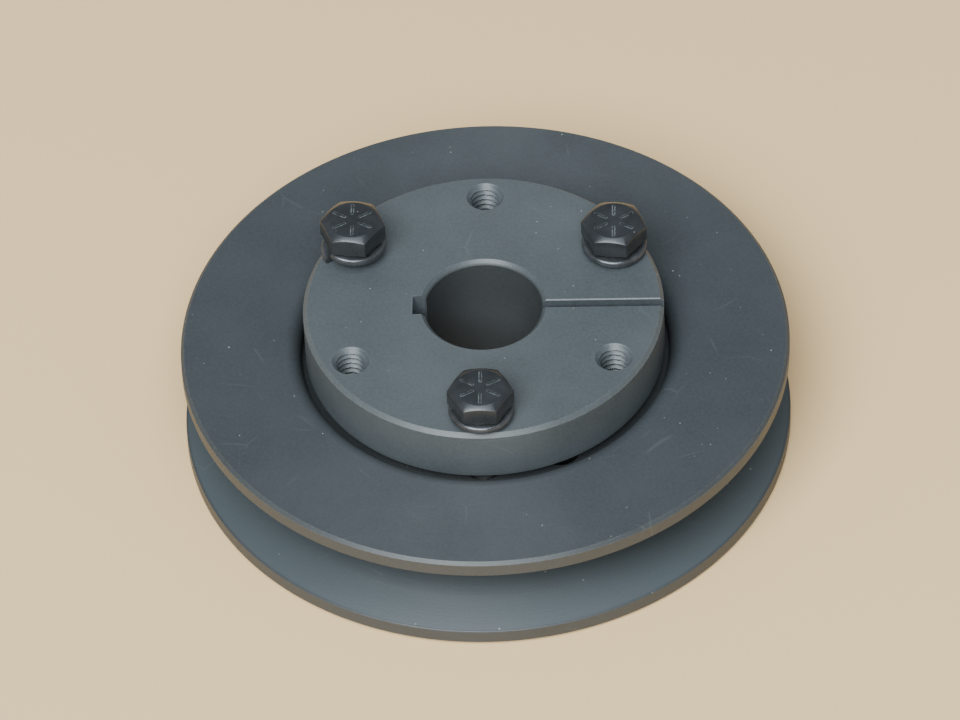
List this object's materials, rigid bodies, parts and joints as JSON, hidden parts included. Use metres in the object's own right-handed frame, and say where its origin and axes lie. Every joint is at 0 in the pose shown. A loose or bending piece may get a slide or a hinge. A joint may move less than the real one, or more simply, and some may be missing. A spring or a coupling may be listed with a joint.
{
  "type": "v belt pulley",
  "caption": "Single-groove V-belt sheave on a split tapered bushing, drawn in by hex cap screws with lock washers through the bushing's flange.",
  "frame": {"origin": "on the bore axis at the sheave's flat back face", "axes": "+Z along the bore from the back face towards the bushing's flange; the bushing's split faces +X and its keyway -X"},
  "size_m": [0.1156, 0.1156, 0.0405],
  "materials": {
    "sheave_iron": "turned and black phosphated, matt",
    "bushing_iron": "turned and black phosphated, fine grain",
    "screw_black": "black oxide, semi gloss",
    "washer_steel": "black oxide, satin"
  },
  "bodies": {
    "sheave": {"sheave": "sheave_iron"},
    "taper_bushing": {"taper_bushing": "bushing_iron"},
    "lock_washer_1": {"lock_washer_1": "washer_steel"},
    "cap_screw_1": {"cap_screw_1": "screw_black"},
    "lock_washer_2": {"lock_washer_2": "washer_steel"},
    "cap_screw_2": {"cap_screw_2": "screw_black"},
    "lock_washer_3": {"lock_washer_3": "washer_steel"},
    "cap_screw_3": {"cap_screw_3": "screw_black"},
    "key_set_screw": {"key_set_screw": "screw_black"}
  },
  "joints": [
    {"name": "bushing_pull_out", "type": "slide", "parent": "sheave", "child": "taper_bushing", "axis": [0, 0, 1], "range_m": [0, 0.032]},
    {"name": "screw_1_lift", "type": "slide", "parent": "taper_bushing", "child": "lock_washer_1", "axis": [0, 0, 1], "range_m": [0, 0.02032]},
    {"name": "screw_1_turn", "type": "hinge", "parent": "lock_washer_1", "child": "cap_screw_1", "pos_m": [0.02475, 0.01429, 0.03168], "axis": [0, 0, 1], "range_deg": [0, 5760.01]},
    {"name": "screw_2_lift", "type": "slide", "parent": "taper_bushing", "child": "lock_washer_2", "axis": [0, 0, 1], "range_m": [0, 0.02032]},
    {"name": "screw_2_turn", "type": "hinge", "parent": "lock_washer_2", "child": "cap_screw_2", "pos_m": [-0.02475, 0.01429, 0.03168], "axis": [0, 0, 1], "range_deg": [0, 5760.01]},
    {"name": "screw_3_lift", "type": "slide", "parent": "taper_bushing", "child": "lock_washer_3", "axis": [0, 0, 1], "range_m": [0, 0.02032]},
    {"name": "screw_3_turn", "type": "hinge", "parent": "lock_washer_3", "child": "cap_screw_3", "pos_m": [0, -0.02857, 0.03168], "axis": [0, 0, 1], "range_deg": [0, 5760.01]},
    {"name": "key_set_screw_travel", "type": "slide", "parent": "taper_bushing", "child": "key_set_screw", "axis": [-1, 0, 0], "range_m": [-0.009, 0.0115]}
  ],
  "couplings": [
    {"joint": "screw_1_turn", "follows": "screw_1_lift", "rad_per_m": 4947.4},
    {"joint": "screw_2_turn", "follows": "screw_2_lift", "rad_per_m": 4947.4},
    {"joint": "screw_3_turn", "follows": "screw_3_lift", "rad_per_m": 4947.4}
  ]
}
